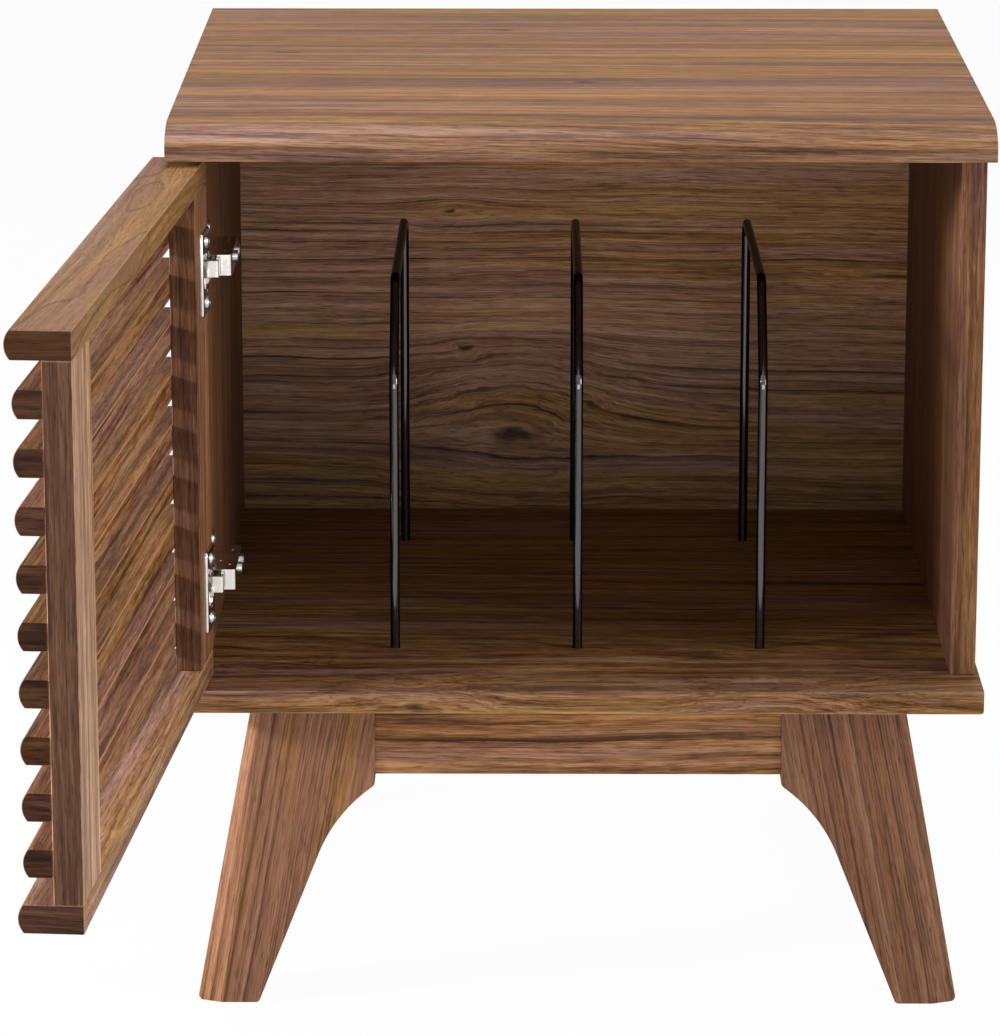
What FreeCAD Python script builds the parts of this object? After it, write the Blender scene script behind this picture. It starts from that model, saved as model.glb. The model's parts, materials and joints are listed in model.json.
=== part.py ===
import FreeCAD, Part
import math
import os

# Cabinet for records on splayed legs, with one slatted door that stands open.
# Millimetres. X runs to the right, Y to the back, Z up. The origin lies on the floor
# under the middle of the top panel.

# Overall sizes
cabinet_width = 500.0
cabinet_depth = 469.0
cabinet_height = 567.0
leg_height = 200.0

# Boards
top_thickness = 21.0
base_thickness = 15.0
side_thickness = 16.0
back_thickness = 5.0
side_inset = 2.5
side_front_setback = 38.0
side_rear_setback = 6.0
back_setback = 13.0
groove_depth = 5.0
groove_clearance = 0.2
top_edge_depth = 31.5
top_edge_height = 14.0
base_edge_radius = 3.0
board_edge_radius = 0.8

# Door
door_side_margin = 4.5
door_bottom_gap = 1.2
door_top_gap = 3.4
door_back_gap = 4.0
door_opening_degrees = 94.4
rail_depth = 35.5
rail_height = 16.0
slat_count = 9
slat_height = 16.0
slat_depth = 16.0
nose_bulge = 3.0
hinge_stile_width = 50.0
free_stile_width = 58.0
stile_thickness = 16.0
slat_edge_radius = 0.7

# Dowels of the door
slat_dowel_radius = 3.0
slat_dowel_depth = 9.0
slat_dowel_edge_distance = 8.0
rail_dowel_radius = 4.0
rail_dowel_rail_depth = 10.0
rail_dowel_stile_depth = 20.0
rail_dowel_edge_distance = 17.0

# Wire dividers
divider_count = 3
wire_diameter = 6.0
divider_front_setback = 98.0
divider_rear_setback = 365.0
divider_shoulder_height = 173.0
divider_shoulder_depth = 40.0
divider_front_height = 231.0
divider_rear_height = 223.5
divider_bend_radius = 12.0
divider_socket_depth = 8.0
divider_socket_clearance = 0.1
divider_screw_radius = 1.5
divider_screw_reach = 10.0
divider_screw_head_radius = 3.2
divider_screw_head_height = 1.8

# Legs and their frame
leg_setback = 28.5
leg_thickness = 36.0
leg_top_inset = 46.7
leg_top_width = 76.3
leg_foot_width = 38.6
leg_foot_inset = 9.5
leg_inner_lean_degrees = 21.4
leg_arch_height = 100.0
leg_shoulder_drop = 54.7
leg_shoulder_radius = 5.0
leg_foot_radius = 3.0
leg_bevel_top_width = 6.5
leg_bevel_foot_width = 15.7
leg_bevel_degrees = 21.0
glide_radius = 12.0
glide_thickness = 3.0
glide_reach = 1.0
apron_height = 48.0
apron_thickness = 18.0
apron_recess = 2.5
corner_block_size = 34.0
corner_block_height = 30.0
frame_dowel_radius = 4.0
frame_dowel_depth = 14.0
frame_dowel_edge_distance = 13.0
leg_dowel_leg_depth = 16.0
leg_dowel_base_depth = 9.0
leg_dowel_spacing = 34.0

# Dowels and screws of the body
panel_dowel_radius = 4.0
panel_dowel_depth = 12.0
panel_fastener_count = 3
panel_fastener_end_distance = 45.0
base_screw_radius = 2.5
base_screw_reach = 35.0
base_screw_head_radius = 5.0
base_screw_head_height = 3.5
block_screw_radius = 2.0
block_screw_reach = 9.0
block_screw_head_radius = 4.0
block_screw_head_height = 2.6
screw_tip_length = 3.0
recess_width = 0.9
recess_length_share = 0.6
recess_depth = 1.0

# Concealed hinges
hinge_top_distance = 67.3
hinge_bottom_distance = 60.1
pivot_edge_distance = 8.8
pivot_face_distance = 8.8
cup_edge_distance = 16.6
cup_radius = 13.0
cup_wall = 0.8
cup_depth = 12.0
cup_bore_clearance = 0.1
flange_thickness = 1.9
flange_radius = 14.5
flange_height = 52.0
flange_width = 20.0
flange_corner_radius = 3.0
cup_screw_spacing = 38.0
cup_screw_radius = 1.6
cup_screw_reach = 12.0
small_head_radius = 3.4
small_head_height = 1.9
hinge_pin_radius = 1.0
hinge_pin_clearance = 0.05
link_barrel_radius = 1.7
link_barrel_half_height = 4.2
link_half_height = 5.0
link_thickness = 2.0
link_reach = 17.0
link_bend_radius = 1.5
link_side_clearance = 0.2
arm_front_gap = 2.5
arm_length = 58.0
arm_half_height = 6.4
arm_wall = 1.2
arm_standoff = 18.9
arm_nose_radius = 2.4
arm_pin_setback = 8.0
arm_pin_radius = 1.3
arm_eye_radius = 2.4
plate_thickness = 2.0
plate_half_height = 21.0
plate_wing_depth = 24.0
plate_strip_half_height = 7.5
plate_screw_spacing = 32.0
plate_screw_setback = 37.0
plate_screw_radius = 1.7
plate_screw_reach = 12.0
plate_corner_radius = 3.0
plate_rib_thickness = 5.0
plate_rib_clearance = 0.2
adjusting_screw_radius = 2.0
adjusting_screw_spacing = 19.0
adjusting_head_radius = 3.6
adjusting_head_height = 2.0

# One run-out length for cuts that go past a face, and how closely edges are told apart
overrun = 5.0
same_place = 0.05
parallel_share = 0.999

# Places worked out from the sizes
half_width = cabinet_width / 2
front_y = -cabinet_depth / 2
rear_y = cabinet_depth / 2
base_bottom_z = leg_height
base_top_z = leg_height + base_thickness
top_bottom_z = cabinet_height - top_thickness
side_outer_x = half_width - side_inset
side_inner_x = side_outer_x - side_thickness
side_middle_x = side_outer_x - side_thickness / 2
side_front_y = front_y + side_front_setback
side_rear_y = rear_y - side_rear_setback
back_outer_y = rear_y - back_setback
back_inner_y = back_outer_y - back_thickness

door_left_x = door_side_margin - half_width
door_right_x = half_width - door_side_margin
door_width = door_right_x - door_left_x
door_bottom_z = base_top_z + door_bottom_gap
door_top_z = top_bottom_z - door_top_gap
door_back_y = side_front_y - door_back_gap
slat_back_y = door_back_y - stile_thickness
stile_bottom_z = door_bottom_z + rail_height
stile_top_z = door_top_z - rail_height
hinge_stile_inner_x = door_left_x + hinge_stile_width
free_stile_inner_x = door_right_x - free_stile_width
slat_gap = (stile_top_z - stile_bottom_z - slat_height * slat_count) / (slat_count + 1)
upper_hinge_z = door_top_z - hinge_top_distance
lower_hinge_z = door_bottom_z + hinge_bottom_distance
pivot_x = door_left_x + pivot_edge_distance
pivot_y = door_back_y - pivot_face_distance
cup_x = door_left_x + cup_edge_distance
arm_front_y = door_back_y + arm_front_gap
arm_back_y = arm_front_y + arm_length
arm_web_x = arm_standoff - side_inner_x
link_end_x = pivot_x + link_reach
arm_pin_x = link_end_x - link_thickness / 2
arm_pin_y = arm_front_y + arm_pin_setback
plate_face_x = plate_thickness - side_inner_x
plate_screw_y = side_front_y + plate_screw_setback

leg_bottom_z = glide_reach
leg_front_y = front_y + leg_setback
leg_back_y = leg_front_y + leg_thickness
leg_middle_y = leg_front_y + leg_thickness / 2
leg_top_outer_x = half_width - leg_top_inset
leg_top_inner_x = leg_top_outer_x - leg_top_width
leg_foot_outer_x = half_width - leg_foot_inset
leg_foot_inner_x = leg_foot_outer_x - leg_foot_width
apron_bottom_z = leg_height - apron_height
side_apron_outer_x = leg_top_outer_x - apron_recess
side_apron_inner_x = side_apron_outer_x - apron_thickness
front_apron_y = leg_front_y + apron_recess

along_x = FreeCAD.Vector(1, 0, 0)
along_y = FreeCAD.Vector(0, 1, 0)
along_z = FreeCAD.Vector(0, 0, 1)
centre_point = FreeCAD.Vector(0, 0, 0)


# Plain shapes
def box(low, high):
    """A block between two opposite corners."""
    size = [end - start for start, end in zip(low, high)]
    return Part.makeBox(size[0], size[1], size[2], FreeCAD.Vector(*low))


def rod(start, direction, radius, length):
    """A round bar from a point along a direction."""
    return Part.makeCylinder(radius, length, FreeCAD.Vector(*start), direction)


def board(low, high):
    """A board with slightly softened edges."""
    plain = box(low, high)
    return plain.makeFillet(board_edge_radius, plain.Edges)


def edges_at(shape, direction, points):
    """The straight edges along a direction that pass through one of the points."""
    found = []
    for edge in shape.Edges:
        if not isinstance(edge.Curve, Part.Line):
            continue
        if abs(edge.tangentAt(edge.FirstParameter).dot(direction)) < parallel_share:
            continue
        for point in points:
            offset = FreeCAD.Vector(*point) - edge.CenterOfMass
            if (offset - direction * offset.dot(direction)).Length < same_place:
                found.append(edge)
    return found


def across_x(shapes):
    """The shapes and their copies on the other side of the middle."""
    return shapes + [shape.mirror(centre_point, along_x) for shape in shapes]


def across_y(shapes):
    """The shapes and their copies at the other end of the cabinet."""
    return shapes + [shape.mirror(centre_point, along_y) for shape in shapes]


def spread(first, last, count):
    """Evenly spaced places from the first to the last."""
    return [first + (last - first) * step / (count - 1) for step in range(count)]


# Screws
def screw_hole(face, direction, reach, radius, head_radius, head_height):
    """The space of a countersunk screw: face is the middle of its head, reach its whole length."""
    start = FreeCAD.Vector(*face)
    tip_start = start + direction * (reach - screw_tip_length)
    head = Part.makeCone(head_radius, radius, head_height, start, direction)
    shank = Part.makeCylinder(radius, reach - screw_tip_length, start, direction)
    tip = Part.makeCone(radius, 0, screw_tip_length, tip_start, direction)
    return head.fuse([shank, tip]).removeSplitter()


def screw(face, direction, reach, radius, head_radius, head_height):
    """A countersunk screw with a cross recess."""
    solid = screw_hole(face, direction, reach, radius, head_radius, head_height)
    return solid.cut(cross_recess(FreeCAD.Vector(*face), direction, head_radius))


def cross_recess(face, direction, head_radius):
    """The cross slot of a screw, sunk into its head from the face."""
    arm = head_radius * 2 * recess_length_share
    bars = []
    for length, width in ((arm, recess_width), (recess_width, arm)):
        bar = Part.makeBox(length, width, recess_depth)
        bar.translate(FreeCAD.Vector(-length / 2, -width / 2, 0))
        bars.append(bar)
    slot = bars[0].fuse(bars[1])
    slot.Placement = FreeCAD.Placement(face, FreeCAD.Rotation(along_z, direction))
    return slot


# Body of the cabinet
def panel_fastener_places():
    """Where the sides are joined to the top and the base."""
    first = side_front_y + panel_fastener_end_distance
    last = side_rear_y - panel_fastener_end_distance
    rows = spread(first, last, panel_fastener_count)
    return [(x, y) for x in (-side_middle_x, side_middle_x) for y in rows]


def panel_dowels():
    """Dowels between the side panels and the top panel."""
    low_z = top_bottom_z - panel_dowel_depth
    return [rod((x, y, low_z), along_z, panel_dowel_radius, panel_dowel_depth * 2)
            for x, y in panel_fastener_places()]


def base_screws(make):
    """Long screws up through the base into the side panels, or their holes."""
    reach = base_thickness + base_screw_reach
    return [make((x, y, base_bottom_z), along_z, reach, base_screw_radius,
                 base_screw_head_radius, base_screw_head_height)
            for x, y in panel_fastener_places()]


def back_groove():
    """The space of the back panel and its clearance."""
    reach = groove_depth + groove_clearance
    return box((-side_inner_x - reach, back_inner_y - groove_clearance, base_top_z - reach),
               (side_inner_x + reach, back_outer_y + groove_clearance, top_bottom_z + reach))


def back_panel():
    """Thin back board, held in grooves all round."""
    return box((-side_inner_x - groove_depth, back_inner_y, base_top_z - groove_depth),
               (side_inner_x + groove_depth, back_outer_y, top_bottom_z + groove_depth))


def top_panel():
    """Top board. Its front edge rolls over in a long quarter of an ellipse."""
    roll_middle = FreeCAD.Vector(-half_width, front_y + top_edge_depth, cabinet_height - top_edge_height)
    roll_front = roll_middle - along_y * top_edge_depth
    roll_upper = roll_middle + along_z * top_edge_height
    roll = Part.Arc(Part.Ellipse(roll_front, roll_upper, roll_middle), 0, math.pi / 2).toShape()
    rear_upper = FreeCAD.Vector(-half_width, rear_y, cabinet_height)
    rear_lower = FreeCAD.Vector(-half_width, rear_y, top_bottom_z)
    front_lower = FreeCAD.Vector(-half_width, front_y, top_bottom_z)
    sides = Part.makePolygon([roll_upper, rear_upper, rear_lower, front_lower, roll_front]).Edges
    panel = Part.Face(Part.Wire([roll] + sides)).extrude(along_x * cabinet_width)
    panel = panel.makeFillet(board_edge_radius, edges_at(panel, along_x, [front_lower, rear_lower, rear_upper]))
    return panel.cut([back_groove()] + panel_dowels())


def bottom_panel():
    """Base board with rounded lower edges."""
    panel = box((-half_width, front_y, base_bottom_z), (half_width, rear_y, base_top_z))
    lower = [edge for edge in panel.Edges if edge.BoundBox.ZMax < base_bottom_z + same_place]
    panel = panel.makeFillet(base_edge_radius, lower)
    cuts = [back_groove()] + base_screws(screw_hole) + leg_dowels() + block_screws(screw_hole)
    cuts += divider_screws(screw_hole)
    for x in divider_places():
        for y in divider_feet():
            cuts.append(rod((x, y, base_top_z - divider_socket_depth), along_z,
                            wire_diameter / 2 + divider_socket_clearance, divider_socket_depth + overrun))
    return panel.cut(cuts)


def side_panel():
    """The right side board, with its groove and the holes of its dowels and screws."""
    panel = board((side_inner_x, side_front_y, base_top_z), (side_outer_x, side_rear_y, top_bottom_z))
    return panel.cut([back_groove()] + panel_dowels() + base_screws(screw_hole))


def left_side_panel():
    """The other side board, which also carries the plates of the hinges."""
    return side_panel().mirror(centre_point, along_x).cut(plate_screws(screw_hole))


# Wire dividers
def divider_places():
    """Where the dividers part the inside into equal bays."""
    bay = side_inner_x * 2 / (divider_count + 1)
    return [bay * (index + 1) - side_inner_x for index in range(divider_count)]


def divider_feet():
    """The front and the rear foot of every divider."""
    return (front_y + divider_front_setback, front_y + divider_rear_setback)


def divider_screws(make):
    """Screws from under the base into the feet of the dividers, or their holes."""
    reach = base_thickness - divider_socket_depth + divider_screw_reach
    return [make((x, y, base_bottom_z), along_z, reach, divider_screw_radius,
                 divider_screw_head_radius, divider_screw_head_height)
            for x in divider_places() for y in divider_feet()]


def bend(before, corner, after):
    """Where a bend of the wire starts and ends, and its arc."""
    back = (before - corner).normalize()
    ahead = (after - corner).normalize()
    half_angle = back.getAngle(ahead) / 2
    run = divider_bend_radius / math.tan(half_angle)
    middle = corner + (back + ahead).normalize() * (divider_bend_radius / math.sin(half_angle) - divider_bend_radius)
    start = corner + back * run
    end = corner + ahead * run
    return start, end, Part.Arc(start, middle, end).toShape()


def record_divider(x):
    """A hoop of round wire that leans back at its front shoulder. Its two feet stand in sockets in the base."""
    front, rear = divider_feet()
    foot_z = base_top_z - divider_socket_depth
    corners = [FreeCAD.Vector(x, front, foot_z),
               FreeCAD.Vector(x, front, base_top_z + divider_shoulder_height),
               FreeCAD.Vector(x, front + divider_shoulder_depth, base_top_z + divider_front_height),
               FreeCAD.Vector(x, rear, base_top_z + divider_rear_height),
               FreeCAD.Vector(x, rear, foot_z)]
    start = corners[0]
    path = []
    for before, corner, after in zip(corners, corners[1:], corners[2:]):
        bend_start, bend_end, arc = bend(before, corner, after)
        path += [Part.LineSegment(start, bend_start).toShape(), arc]
        start = bend_end
    path.append(Part.LineSegment(start, corners[-1]).toShape())
    section = Part.Wire([Part.Circle(corners[0], along_z, wire_diameter / 2).toShape()])
    return Part.Wire(path).makePipeShell([section], True, True).cut(divider_screws(screw_hole))


# Legs and the frame between them
def leg_side_x(height):
    """How far out the splayed outer side of a leg is at a height."""
    return leg_foot_outer_x + (leg_top_outer_x - leg_foot_outer_x) * height / leg_height


def leg_bevel():
    """What is planed off the outer front edge of a leg: little at the top, more at the foot."""
    slope = math.tan(math.radians(leg_bevel_degrees))
    ends = []
    for height in (-overrun, leg_height + overrun):
        width = leg_bevel_foot_width + (leg_bevel_top_width - leg_bevel_foot_width) * height / leg_height
        front = FreeCAD.Vector(leg_side_x(height) - width - overrun, leg_front_y - overrun * slope, height)
        rear = FreeCAD.Vector(leg_side_x(height) + overrun, leg_front_y + (width + overrun) * slope, height)
        ends.append([front, FreeCAD.Vector(rear.x, front.y, height), rear])
    lower, upper = ends
    outlines = [lower + lower[:1], upper + upper[:1]]
    for start, end in ((0, 1), (1, 2), (2, 0)):
        outlines.append([lower[start], lower[end], upper[end], upper[start], lower[start]])
    faces = [Part.Face(Part.makePolygon(outline)) for outline in outlines]
    return Part.makeSolid(Part.makeShell(faces))


def leg():
    """The front right leg: splayed outside, arched inside, with its holes."""
    inner_slope = math.tan(math.radians(leg_inner_lean_degrees))
    shoulder = FreeCAD.Vector(leg_top_inner_x, leg_front_y, leg_height - leg_shoulder_drop)
    arch_start = FreeCAD.Vector(leg_foot_inner_x - inner_slope * leg_arch_height, leg_front_y, leg_arch_height)
    foot_inner = FreeCAD.Vector(leg_foot_inner_x - inner_slope * leg_bottom_z, leg_front_y, leg_bottom_z)
    foot_outer = FreeCAD.Vector(leg_side_x(leg_bottom_z), leg_front_y, leg_bottom_z)
    top_outer = FreeCAD.Vector(leg_top_outer_x, leg_front_y, leg_height)
    top_inner = FreeCAD.Vector(leg_top_inner_x, leg_front_y, leg_height)

    # The arch runs on from the straight inner side without a kink and ends at the shoulder
    inward = FreeCAD.Vector(-1, 0, -inner_slope).normalize()
    chord = shoulder - arch_start
    arch_radius = chord.dot(chord) / (chord.dot(inward) * 2)
    arch_centre = arch_start + inward * arch_radius
    outward = (arch_start + chord / 2 - arch_centre).normalize()
    arch = Part.Arc(arch_start, arch_centre + outward * arch_radius, shoulder).toShape()
    straight = Part.makePolygon([shoulder, top_inner, top_outer, foot_outer, foot_inner, arch_start]).Edges
    solid = Part.Face(Part.Wire([arch] + straight)).extrude(along_y * leg_thickness)
    solid = solid.makeFillet(leg_shoulder_radius, edges_at(solid, along_y, [shoulder]))
    solid = solid.makeFillet(leg_foot_radius, edges_at(solid, along_y, [foot_inner, foot_outer]))
    return solid.cut([leg_bevel(), foot_glide()] + leg_dowels() + apron_dowels())


def foot_glide():
    """A round pad, let into the foot of a leg."""
    x = leg_foot_outer_x - leg_foot_width / 2
    return rod((x, leg_middle_y, 0), along_z, glide_radius, glide_thickness)


def leg_dowels():
    """Dowels between the legs and the base."""
    middle_x = leg_top_inner_x + leg_top_width / 2
    places = (middle_x - leg_dowel_spacing / 2, middle_x + leg_dowel_spacing / 2)
    length = leg_dowel_leg_depth + leg_dowel_base_depth
    corner = [rod((x, leg_middle_y, leg_height - leg_dowel_leg_depth), along_z, frame_dowel_radius, length)
              for x in places]
    return across_y(across_x(corner))


def apron_dowels():
    """Dowels between the aprons and the legs."""
    front_y_middle = front_apron_y + apron_thickness / 2
    side_x_middle = side_apron_inner_x + apron_thickness / 2
    length = frame_dowel_depth * 2
    corner = []
    for z in (apron_bottom_z + frame_dowel_edge_distance, leg_height - frame_dowel_edge_distance):
        corner.append(rod((leg_top_inner_x - frame_dowel_depth, front_y_middle, z),
                          along_x, frame_dowel_radius, length))
        corner.append(rod((side_x_middle, leg_back_y - frame_dowel_depth, z),
                          along_y, frame_dowel_radius, length))
    return across_y(across_x(corner))


def front_apron():
    """Rail between the front legs, set back a little from their faces."""
    return box((-leg_top_inner_x, front_apron_y, apron_bottom_z),
               (leg_top_inner_x, front_apron_y + apron_thickness, leg_height)).cut(apron_dowels())


def side_apron():
    """Rail between the two legs of the right side."""
    return box((side_apron_inner_x, leg_back_y, apron_bottom_z),
               (side_apron_outer_x, -leg_back_y, leg_height)).cut(apron_dowels())


def corner_block():
    """Block in the front right corner of the frame, screwed to the base."""
    block = box((side_apron_inner_x - corner_block_size, leg_back_y, leg_height - corner_block_height),
                (side_apron_inner_x, leg_back_y + corner_block_size, leg_height))
    return block.cut(block_screws(screw_hole))


def block_screws(make):
    """Two screws up through each corner block into the base, or their holes."""
    left_x = side_apron_inner_x - corner_block_size
    near = corner_block_size / 4
    far = corner_block_size - near
    reach = corner_block_height + block_screw_reach
    corner = [make((left_x + x, leg_back_y + y, leg_height - corner_block_height), along_z, reach,
                   block_screw_radius, block_screw_head_radius, block_screw_head_height)
              for x, y in ((near, far), (far, near))]
    return across_y(across_x(corner))


# Door, drawn shut
def nosed_bar(bottom_z, height, back_y, depth):
    """A bar over the width of the door. Its front bulges in an arc."""
    nose_y = back_y - depth
    arc_lower = FreeCAD.Vector(door_left_x, nose_y + nose_bulge, bottom_z)
    arc_middle = FreeCAD.Vector(door_left_x, nose_y, bottom_z + height / 2)
    arc_upper = FreeCAD.Vector(door_left_x, nose_y + nose_bulge, bottom_z + height)
    back_upper = FreeCAD.Vector(door_left_x, back_y, bottom_z + height)
    back_lower = FreeCAD.Vector(door_left_x, back_y, bottom_z)
    nose = Part.Arc(arc_lower, arc_middle, arc_upper).toShape()
    sides = Part.makePolygon([arc_upper, back_upper, back_lower, arc_lower]).Edges
    bar = Part.Face(Part.Wire([nose] + sides)).extrude(along_x * door_width)
    return bar.makeFillet(slat_edge_radius, bar.Edges)


def rail(bottom_z):
    """A deep rail with the holes of its dowels."""
    return nosed_bar(bottom_z, rail_height, door_back_y, rail_depth).cut(rail_dowels())


def slat_bottoms():
    """The heights of the slats' lower faces, evenly spaced between the rails."""
    return [stile_bottom_z + slat_gap + (slat_height + slat_gap) * index for index in range(slat_count)]


def slat(bottom_z):
    """A slat with the holes of its dowels."""
    return nosed_bar(bottom_z, slat_height, slat_back_y, slat_depth).cut(slat_dowels())


def hinge_stile():
    """Flat upright behind the slats, bored for the hinge cups."""
    stile = board((door_left_x, slat_back_y, stile_bottom_z),
                  (hinge_stile_inner_x, door_back_y, stile_top_z))
    bores = [rod((cup_x, door_back_y + overrun, z), -along_y, cup_radius + cup_bore_clearance,
                 cup_depth + cup_bore_clearance + overrun)
             for z in (upper_hinge_z, lower_hinge_z)]
    return stile.cut(bores + cup_screws(screw_hole) + slat_dowels() + rail_dowels())


def free_stile():
    """Flat upright at the free side of the door."""
    stile = board((free_stile_inner_x, slat_back_y, stile_bottom_z),
                  (door_right_x, door_back_y, stile_top_z))
    return stile.cut(slat_dowels() + rail_dowels())


def slat_dowels():
    """Dowels between the slats and the stiles."""
    places = (hinge_stile_inner_x - slat_dowel_edge_distance, free_stile_inner_x + slat_dowel_edge_distance)
    return [rod((x, slat_back_y - slat_dowel_depth, z + slat_height / 2), along_y,
                slat_dowel_radius, slat_dowel_depth * 2)
            for x in places for z in slat_bottoms()]


def rail_dowels():
    """Dowels between the rails and the ends of the stiles."""
    y = door_back_y - stile_thickness / 2
    length = rail_dowel_rail_depth + rail_dowel_stile_depth
    dowels = []
    for left_x, right_x in ((door_left_x, hinge_stile_inner_x), (free_stile_inner_x, door_right_x)):
        for x in (left_x + rail_dowel_edge_distance, right_x - rail_dowel_edge_distance):
            for z in (stile_bottom_z - rail_dowel_rail_depth, stile_top_z - rail_dowel_stile_depth):
                dowels.append(rod((x, y, z), along_z, rail_dowel_radius, length))
    return dowels


# Hinges, drawn with the door shut
def hinge_cup(z):
    """Pressed cup with a screwed flange, sunk into the back of the hinge stile."""
    cup = rod((cup_x, door_back_y, z), -along_y, cup_radius, cup_depth)
    rim = rod((cup_x, door_back_y, z), along_y, flange_radius, flange_thickness)
    half = flange_width / 2
    wings = box((cup_x - half, door_back_y, z - flange_height / 2),
                (cup_x + half, door_back_y + flange_thickness, z + flange_height / 2))
    corners = [(cup_x + side * half, door_back_y, z + end * flange_height / 2)
               for side in (-1, 1) for end in (-1, 1)]
    wings = wings.makeFillet(flange_corner_radius, edges_at(wings, along_y, corners))
    hollow = rod((cup_x, door_back_y + overrun, z), -along_y, cup_radius - cup_wall,
                 cup_depth - cup_wall + overrun)
    solid = cup.fuse([rim, wings]).removeSplitter()
    return solid.cut([hollow] + cup_screws(screw_hole) + cup_pins())


def cup_screws(make):
    """Two screws through each cup's flange into the stile, or their holes."""
    reach = flange_thickness + cup_screw_reach
    return [make((cup_x, door_back_y + flange_thickness, z + end * cup_screw_spacing / 2), -along_y, reach,
                 cup_screw_radius, small_head_radius, small_head_height)
            for z in (upper_hinge_z, lower_hinge_z) for end in (-1, 1)]


def cup_pins():
    """The pins in the cups, on the line about which the door swings. They end flush with the cups' outsides."""
    pins = []
    for z in (upper_hinge_z, lower_hinge_z):
        outside = rod((cup_x, door_back_y, z), -along_y, cup_radius, cup_depth)
        pin = rod((pivot_x, pivot_y, z - cup_radius), along_z, hinge_pin_radius, cup_radius * 2)
        pins.append(pin.common(outside))
    return pins


def arm_pins():
    """The pins that hold the links in the noses of the arms."""
    return [rod((arm_pin_x, arm_pin_y, z - arm_half_height), along_z, arm_pin_radius, arm_half_height * 2)
            for z in (upper_hinge_z, lower_hinge_z)]


def hinge_link(z):
    """Bent link from the pin in the cup to the pin in the arm."""
    half = link_thickness / 2
    tongue = box((pivot_x, pivot_y - half, z - link_half_height),
                 (link_end_x, pivot_y + half, z + link_half_height))
    neck = box((link_end_x - link_thickness, pivot_y - half, z - link_half_height),
               (link_end_x, arm_pin_y, z + link_half_height))
    barrel = rod((pivot_x, pivot_y, z - link_barrel_half_height), along_z,
                 link_barrel_radius, link_barrel_half_height * 2)
    eye = rod((arm_pin_x, arm_pin_y, z - link_half_height), along_z, arm_eye_radius, link_half_height * 2)
    running_hole = rod((pivot_x, pivot_y, z - link_half_height - overrun), along_z,
                       hinge_pin_radius + hinge_pin_clearance, (link_half_height + overrun) * 2)
    plates = tongue.fuse(neck).removeSplitter()
    plates = plates.makeFillet(link_bend_radius, edges_at(plates, along_z, [(link_end_x, pivot_y - half, z)]))
    return plates.fuse([barrel, eye]).removeSplitter().cut([running_hole] + arm_pins())


def hinge_arm(z):
    """Channel with its open side to the side panel. The link comes out beside its closed nose."""
    channel = box((plate_face_x, arm_front_y, z - arm_half_height), (arm_web_x, arm_back_y, z + arm_half_height))
    channel = channel.makeFillet(arm_nose_radius, edges_at(channel, along_z, [(arm_web_x, arm_front_y, z)]))
    inner_half = arm_half_height - arm_wall
    hollow = box((plate_face_x - overrun, arm_front_y + arm_wall, z - inner_half),
                 (arm_web_x - arm_wall, arm_back_y + overrun, z + inner_half))
    mouth = box((plate_face_x - overrun, arm_front_y - overrun, z - inner_half),
                (link_end_x + link_side_clearance, arm_front_y + arm_wall + overrun, z + inner_half))
    return channel.cut([hollow, mouth] + arm_pins() + adjusting_screw_shanks(z))


def adjusting_screw_places(z):
    """The middles of the two screws on the web of an arm."""
    half = adjusting_screw_spacing / 2
    return [(arm_web_x, plate_screw_y - half, z), (arm_web_x, plate_screw_y + half, z)]


def adjusting_screw_shanks(z):
    """The shanks of the two adjusting screws of a hinge."""
    return [rod(place, -along_x, adjusting_screw_radius, arm_standoff - plate_thickness)
            for place in adjusting_screw_places(z)]


def adjusting_screws():
    """Screws that hold the arms to the plates, with round slotted heads."""
    screws = []
    for z in (upper_hinge_z, lower_hinge_z):
        for place, shank in zip(adjusting_screw_places(z), adjusting_screw_shanks(z)):
            head = rod(place, along_x, adjusting_head_radius, adjusting_head_height)
            face = FreeCAD.Vector(*place) + along_x * adjusting_head_height
            slot = cross_recess(face, -along_x, adjusting_head_radius)
            screws.append(head.fuse(shank).removeSplitter().cut(slot))
    return screws


def hinge_plate(z):
    """Cross-shaped plate on the side panel, with a rib that takes the adjusting screws."""
    wing = box((-side_inner_x, plate_screw_y - plate_wing_depth / 2, z - plate_half_height),
               (plate_face_x, plate_screw_y + plate_wing_depth / 2, z + plate_half_height))
    corners = [(-side_inner_x, plate_screw_y + side * plate_wing_depth / 2, z + end * plate_half_height)
               for side in (-1, 1) for end in (-1, 1)]
    wing = wing.makeFillet(plate_corner_radius, edges_at(wing, along_x, corners))
    strip = box((-side_inner_x, arm_pin_y + arm_eye_radius, z - plate_strip_half_height),
                (plate_face_x, arm_back_y, z + plate_strip_half_height))
    rib_half_height = arm_half_height - arm_wall - plate_rib_clearance
    rib_half_length = (adjusting_screw_spacing + adjusting_head_radius * 2) / 2
    rib = box((-side_inner_x, plate_screw_y - rib_half_length, z - rib_half_height),
              (plate_face_x + plate_rib_thickness, plate_screw_y + rib_half_length, z + rib_half_height))
    solid = wing.fuse([strip, rib]).removeSplitter()
    return solid.cut(adjusting_screw_shanks(z) + plate_screws(screw_hole))


def plate_screws(make):
    """Two screws through each plate into the side panel, or their holes."""
    reach = plate_thickness + plate_screw_reach
    return [make((plate_face_x, plate_screw_y, z + end * plate_screw_spacing / 2), -along_x, reach,
                 plate_screw_radius, small_head_radius, small_head_height)
            for z in (upper_hinge_z, lower_hinge_z) for end in (-1, 1)]


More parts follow.
